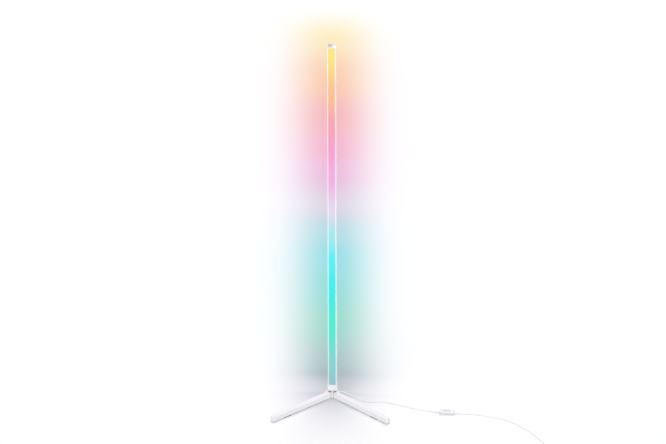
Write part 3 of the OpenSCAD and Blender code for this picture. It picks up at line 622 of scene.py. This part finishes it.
FINISHES = {
    # Extruded aluminium, powder coated: matt white with the soft lumps of orange peel at
    # their real size, and the strip's light painted on its lips as a tint and a faint glow
    "pole_aluminium": moulded(
        "powder_coated_aluminium", "F3F3F5", "EFEFF1",
        rough=0.45, grain_mm=1.2, depth_mm=0.05, over=lips_painted_strip_light,
    ),
    # Die casting, powder coated: a duller white than the pole, its lumps at real size
    "white_enamel": moulded(
        "powder_coated_casting", "F1F1F2", "ECECEE",
        rough=0.6, grain_mm=1.0, depth_mm=0.06, gloss=0.2,
    ),
    # Drawn opal acrylic: an even band of coloured light with a satin face
    "opal_diffuser": lit_opal(),
    # Moulded ABS from a finely sparked mould: a soft, dry white. The real grain of about
    # 0.1 mm wouldn't show, so it is drawn at 0.5 mm here and on the other ABS parts
    "white_plastic": moulded(
        "white_abs_fine_spark", "EDEDEE", "E8E8EA", rough=0.5, grain_mm=0.5, depth_mm=0.03
    ),
    # The same in pale grey, which sets the switch's lower half off from its white top
    "grey_plastic": moulded(
        "grey_abs_fine_spark", "DADADF", "D4D4DA", rough=0.5, grain_mm=0.5, depth_mm=0.03
    ),
    # Moulded ABS that fingers have polished: a grey button, smoother than its shell
    "button_plastic": moulded(
        "grey_abs_button", "D6D5DB", "D0CFD6", rough=0.38, grain_mm=0.5, depth_mm=0.02
    ),
    # Moulded black ABS: a dull near-black inside the housings
    "dark_plastic": moulded(
        "black_abs", "2B2B2D", "242427", rough=0.55, grain_mm=0.5, depth_mm=0.03
    ),
    # Solder mask over glass cloth: a glossy green with the cloth's ripple at real size
    "circuit_board": moulded(
        "green_solder_mask", "1C6B42", "175C39", rough=0.3, grain_mm=0.8, depth_mm=0.02
    ),
    # Phosphor in clear resin: a smooth pale yellow. Its mottling of 0.1 mm is drawn coarser
    "light_chips": moulded(
        "phosphor_chip", "F2E9A8", "EADF98", rough=0.3, grain_mm=0.5, depth_mm=0.01
    ),
    # Extruded PVC on thin wires: a satin yellow. Its ripple of 0.2 mm is drawn coarser
    "inner_wire": moulded(
        "yellow_pvc_wire", "D9B23A", "CFA733", rough=0.4, grain_mm=0.6, depth_mm=0.02
    ),
    # Extruded PVC round the cord: a smooth satin white. Its ripple of 0.2 mm is drawn at
    # 0.8 mm, so that the jacket doesn't look like glass close up
    "cord_jacket": moulded(
        "white_pvc_jacket", "EFEFF1", "EAEAEC", rough=0.4, grain_mm=0.8, depth_mm=0.03
    ),
    # Moulded rubber: a dull black that hardly shines. Its grain of 0.2 mm is drawn coarser
    "foot_rubber": moulded(
        "dark_rubber", "202022", "19191B",
        rough=0.85, grain_mm=0.6, depth_mm=0.06, gloss=0.25,
    ),
    # Turned steel, zinc plated: light grey and bright. Turning lines of 0.1 mm are drawn as
    # a coarser grain, here and on the two metals below
    "screw_steel": metal("zinc_plated_screw", "B9BABD", rough=0.35, grain_mm=0.4),
    # Drawn steel bar: a darker, duller grey
    "ballast_steel": metal("drawn_ballast_steel", "7E7F82", rough=0.5, grain_mm=0.6),
    # Turned brass, nickel plated: the brightest metal, faintly warm
    "pin_brass": metal("nickel_plated_pin", "C9C9C6", rough=0.22, grain_mm=0.3),
}  # fmt: skip

# Moulded ABS as above, with a painted shade in its dish
cap_finish = moulded(
    "white_abs_cap_painted_dish_shade", "F1F1F3", "EDEDEF",
    rough=0.45, grain_mm=0.5, depth_mm=0.03, over=dish_painted_shade,
)  # fmt: skip
# Moulded ABS as above, white on top and greyer down its sides, the grey a painted shade
shell_finish = moulded(
    "white_abs_side_painted_shade", "F0F0F2", "ECECEE",
    rough=0.55, grain_mm=0.5, depth_mm=0.03, gloss=0.35, over=shell_side_painted_shade,
)  # fmt: skip
# The casting's coat a shade lighter, with painted shade in the pockets under the collar and
# where the legs face the web
leg_finish = moulded(
    "powder_coated_leg", "F2F1F3", "EEEDEF",
    rough=0.6, grain_mm=1.0, depth_mm=0.06, gloss=0.2, over=roots_painted_shade,
)  # fmt: skip
# Woven soft nylon: a matt, slightly greyer strap that shows up on the pale cord, its
# threads at their real size
tie_finish = moulded(
    "white_nylon_tie", "CFCFD3", "C4C4C9", rough=0.7, grain_mm=0.4, depth_mm=0.08
)


def dress(piece, material):
    piece.data.materials.clear()
    piece.data.materials.append(material)


for part in frame["record"]["subparts"]:
    dress(nodes[part["node"]], FINISHES[part["material_slot"]])
dress(nodes["top_cap"], cap_finish)
dress(nodes["switch_upper_shell"], shell_finish)
for leg in ("left_leg", "right_leg"):
    dress(nodes[leg], leg_finish)
for cord in (cord_to_switch, cord_to_adapter):
    dress(cord, FINISHES["cord_jacket"])
dress(cord_tie, tie_finish)


# ---- studio ----

FLOOR_HALF = 15
# The floor's tone in the open, and the painted glow and shade at the foot of the pole
FLOOR_TONE, FLOOR_PAINTED_GLOW_AND_SHADE = "F4F4F4", "BFBEC6"  # in the open, and at the foot of the pole
FLOOR_LIFT = 0.11  # what the floor shows more than the light on it
# From the pole to where a third is left: of the floor's painted glow and shade forwards, of
# the glow sideways
FLOOR_REACH = 175 * MM
GLOW_REACH = 160 * MM

GLOW_W = 700 * MM
GLOW_Y = 24 * MM  # just behind the hub
GLOW_TOP = 1680 * MM
GLOW_FULL = 1500 * MM  # above this the glow fades
GLOW_FOOT = 75 * MM  # below this too
# The paler veil that the light's own colour turns into on the backdrop, by height in mm
VEIL = [
    (1500, "F9F6EC"), (1370, "F4E7D4"), (1170, "E8E0CF"), (700, "CACBCC"), (150, "C6CFCC")
]  # fmt: skip
# How much of the light's own colour is left in the veil, between a low and a high place
OWN_LOW, OWN_HIGH = (0.2, 0.41), (1.0, 0.68)
# It gets paler towards both ends: where that starts, where it ends, and what is left there
OWN_ENDS = ((1.3, 1.5, 0.78), (0.25, 0.05, 0.65))
# Towards its top the glow shows a colour lower down than the strip does
DROP_FROM, DROP_TO, DROP = 1.1, 1.5, 90 * MM

SKY_LEVEL, SKY_TONE = 0.39, "FAF8FF"
# Where each sun's light comes from, its strength, and how wide it looks in degrees
SUNS = {
    "key": ((-0.3, -1.0, 2.0), 1.02, 40),
    "rear": ((-0.05, 1.0, 1.3), 1.16, 42),
    "front": ((0.15, -1.0, 0.18), 1.1, 40),
}


def flat(name, corners):
    """A single face, for the stage only."""
    mesh = bmesh.new()
    mesh.faces.new([mesh.verts.new(c) for c in corners])
    data = bpy.data.meshes.new(name)
    mesh.to_mesh(data)
    mesh.free()
    piece = bpy.data.objects.new(name, data)
    bpy.context.scene.collection.objects.link(piece)
    return piece


def beside_pole(material, x):
    """One at the pole, falling off softly to its left and right."""
    share = add(material, "ShaderNodeMath", {0: x, 1: GLOW_REACH}, operation="DIVIDE")
    square = add(material, "ShaderNodeMath", {0: share, 1: share}, operation="MULTIPLY")
    minus = add(material, "ShaderNodeMath", {0: square, 1: -1.0}, operation="MULTIPLY")
    return add(material, "ShaderNodeMath", {0: minus}, operation="EXPONENT")


def shown(owner):
    """One for what the camera sees, also where gloss or glass shows it."""
    rays = add(owner, "ShaderNodeLightPath")
    share = rays.outputs["Is Camera Ray"]
    for ray in ("Is Glossy Ray", "Is Transmission Ray"):
        share = add(
            owner, "ShaderNodeMath", {0: share, 1: rays.outputs[ray]}, operation="MAXIMUM"
        )
    return share


def make_floor():
    """A plain pale floor that reads as white, with the foot of the strip's glow and a soft
    shade round the pole painted on it for the camera.
    """
    far = FLOOR_HALF
    floor = flat("floor", [(-far, -far, 0), (far, -far, 0), (far, far, 0), (-far, far, 0)])
    material = new_material("pale_floor")
    place = add(material, "ShaderNodeTexCoord").outputs["Object"]
    at = add(material, "ShaderNodeSeparateXYZ", {"Vector": place})
    along = add(material, "ShaderNodeMath", {0: at.outputs["Y"]}, operation="ABSOLUTE")
    away = add(
        material, "ShaderNodeMath", {0: along, 1: -FLOOR_REACH}, operation="DIVIDE"
    )
    share = add(material, "ShaderNodeMath", {0: away}, operation="EXPONENT")
    seen = add(material, "ShaderNodeLightPath").outputs["Is Camera Ray"]
    for factor in (beside_pole(material, at.outputs["X"]), seen):
        share = add(
            material, "ShaderNodeMath", {0: share, 1: factor}, operation="MULTIPLY"
        )
    tone = add(
        material,
        "ShaderNodeMix",
        {"Factor": share, "A": colour(FLOOR_TONE), "B": colour(FLOOR_PAINTED_GLOW_AND_SHADE)},
        data_type="RGBA",
    )
    lift = add(
        material,
        "ShaderNodeMath",
        {0: shown(material), 1: FLOOR_LIFT},
        operation="MULTIPLY",
    )
    glow = add(material, "ShaderNodeEmission", {"Color": tone, "Strength": lift})
    paint = add(material, "ShaderNodeBsdfDiffuse", {"Color": tone})
    both = add(material, "ShaderNodeAddShader", {0: glow, 1: paint})
    add(material, "ShaderNodeOutputMaterial", {"Surface": both})
    dress(floor, material)


def make_glow():
    """The strip's glow on the backdrop: a clear card that tints what the camera sees."""
    w, y = GLOW_W / 2, GLOW_Y
    card = flat("glow", [(-w, y, 0), (w, y, 0), (w, y, GLOW_TOP), (-w, y, GLOW_TOP)])
    material = new_material("glow_in_the_air")
    place = add(material, "ShaderNodeTexCoord").outputs["Object"]
    at = add(material, "ShaderNodeSeparateXYZ", {"Vector": place})
    x, z = at.outputs["X"], at.outputs["Z"]
    own = add(
        material,
        "ShaderNodeMapRange",
        {
            "Value": z,
            "From Min": OWN_LOW[0],
            "From Max": OWN_HIGH[0],
            "To Min": OWN_LOW[1],
            "To Max": OWN_HIGH[1],
        },
    )
    for start, end, left in OWN_ENDS:
        paler = add(
            material,
            "ShaderNodeMapRange",
            {"Value": z, "From Min": start, "From Max": end, "To Min": 1.0, "To Max": left},
        )
        own = add(material, "ShaderNodeMath", {0: own, 1: paler}, operation="MULTIPLY")
    drop = add(
        material,
        "ShaderNodeMapRange",
        {"Value": z, "From Min": DROP_FROM, "From Max": DROP_TO, "To Max": DROP},
    )
    lower = add(material, "ShaderNodeMath", {0: z, 1: drop}, operation="SUBTRACT")
    glow = add(
        material,
        "ShaderNodeMix",
        {
            "Factor": own,
            "A": colour_at(material, z, VEIL),
            "B": colour_at(material, lower, LIGHT),
        },
        data_type="RGBA",
    )
    head = add(
        material,
        "ShaderNodeMapRange",
        {
            "Value": z,
            "From Min": GLOW_FULL,
            "From Max": GLOW_TOP,
            "To Min": 1.0,
            "To Max": 0.0,
        },
        interpolation_type="SMOOTHSTEP",
    )
    foot = add(material, "ShaderNodeMapRange", {"Value": z, "From Max": GLOW_FOOT})
    rear = add(material, "ShaderNodeNewGeometry").outputs["Backfacing"]
    front = add(material, "ShaderNodeMath", {0: 1.0, 1: rear}, operation="SUBTRACT")
    seen = add(material, "ShaderNodeLightPath").outputs["Is Camera Ray"]
    share = beside_pole(material, x)
    for factor in (head, foot, front, seen):
        share = add(
            material, "ShaderNodeMath", {0: share, 1: factor}, operation="MULTIPLY"
        )
    tint = add(
        material,
        "ShaderNodeMix",
        {"Factor": share, "A": colour("FFFFFF"), "B": glow},
        data_type="RGBA",
    )
    clear = add(material, "ShaderNodeBsdfTransparent", {"Color": tint})
    add(material, "ShaderNodeOutputMaterial", {"Surface": clear})
    dress(card, material)


def make_sky():
    """Even, slightly cool light from all round, and white behind the object."""
    world = bpy.data.worlds.new("studio")
    world.use_nodes = True
    world.node_tree.nodes.clear()
    red, green, blue, _ = colour(SKY_TONE)
    light = (SKY_LEVEL * red, SKY_LEVEL * green, SKY_LEVEL * blue, 1.0)
    tone = add(
        world,
        "ShaderNodeMix",
        {"Factor": shown(world), "A": light, "B": colour("FFFFFF")},
        data_type="RGBA",
    )
    sky = add(world, "ShaderNodeBackground", {"Color": tone})
    add(world, "ShaderNodeOutputWorld", {"Surface": sky})
    bpy.context.scene.world = world


def make_sun(name, way, strength, spread):
    """A soft light from far away, coming from the given way."""
    data = bpy.data.lights.new(name, "SUN")
    data.energy, data.angle = strength, math.radians(spread)
    light = bpy.data.objects.new(name, data)
    light.rotation_mode = "QUATERNION"
    light.rotation_quaternion = Vector(way).to_track_quat("Z", "Y")
    bpy.context.scene.collection.objects.link(light)


make_floor()
make_glow()
make_sky()
for name, (way, strength, spread) in SUNS.items():
    make_sun(name, way, strength, spread)
bpy.context.scene.view_settings.view_transform = "Standard"
